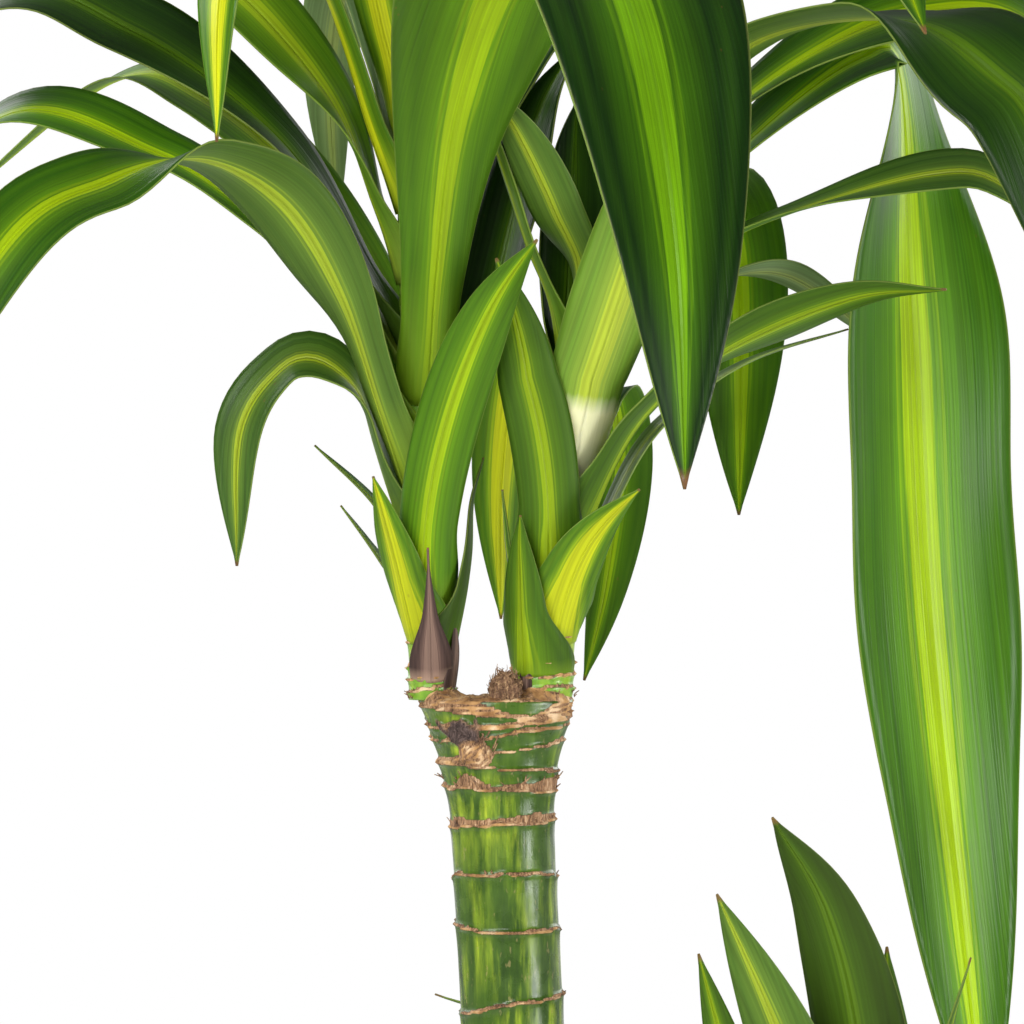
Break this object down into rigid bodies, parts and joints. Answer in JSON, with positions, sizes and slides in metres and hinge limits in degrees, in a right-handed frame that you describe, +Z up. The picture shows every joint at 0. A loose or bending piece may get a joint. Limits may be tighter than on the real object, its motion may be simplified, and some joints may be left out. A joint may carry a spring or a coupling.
{
  "type": "potted corn plant",
  "caption": "Potted corn plant: a forked, ringed cane with two crowns of arching striped leaves and a lower plant beside it, in a round nursery pot.",
  "frame": {"origin": "centre of the pot's flat underside, on the surface it stands on", "axes": "+Z up; the plant's front, with the lower plant to the right of the cane, faces -Y; +X to the right seen from the front"},
  "size_m": [0.5319, 0.4568, 1.0334],
  "materials": {
    "pot": "black moulded nursery plastic",
    "soil": "dark moist potting mix",
    "bark": "glossy green cane with brown leaf scars",
    "dry_fibre": "dry brown fibre",
    "green_stem": "smooth green stem",
    "leaf": "glossy green with a yellow-green stripe down the middle"
  },
  "bodies": {
    "root": {"pot": "pot", "soil": "soil", "cane": "bark", "cane_stub": "dry_fibre", "left_shoot": "green_stem", "right_shoot": "green_stem", "low_stem": "green_stem", "left_dry_sheath": "dry_fibre", "left_bract_1": "leaf", "left_bract_2": "leaf", "left_bract_3": "leaf", "left_bract_4": "leaf", "left_leaf_1": "leaf", "left_leaf_2": "leaf", "left_leaf_3": "leaf", "left_leaf_4": "leaf", "left_leaf_5": "leaf", "left_leaf_6": "leaf", "left_leaf_7": "leaf", "left_leaf_8": "leaf", "left_leaf_9": "leaf", "left_leaf_10": "leaf", "left_leaf_11": "leaf", "left_leaf_12": "leaf", "left_leaf_13": "leaf", "left_leaf_14": "leaf", "left_leaf_15": "leaf", "left_spear": "leaf", "right_bract_1": "leaf", "right_bract_2": "leaf", "right_bract_3": "leaf", "right_leaf_1": "leaf", "right_leaf_2": "leaf", "right_leaf_3": "leaf", "right_leaf_4": "leaf", "right_leaf_5": "leaf", "right_leaf_6": "leaf", "right_leaf_7": "leaf", "right_leaf_8": "leaf", "right_leaf_9": "leaf", "right_leaf_10": "leaf", "right_leaf_11": "leaf", "right_leaf_12": "leaf", "right_leaf_13": "leaf", "right_leaf_14": "leaf", "right_leaf_15": "leaf", "right_leaf_16": "leaf", "right_leaf_17": "leaf", "right_leaf_18": "leaf", "right_spear": "leaf", "low_leaf_1": "leaf", "low_leaf_2": "leaf", "low_leaf_3": "leaf", "low_leaf_4": "leaf", "low_leaf_5": "leaf", "low_leaf_6": "leaf", "low_leaf_7": "leaf", "low_leaf_8": "leaf", "low_leaf_9": "leaf"}
  },
  "joints": []
}
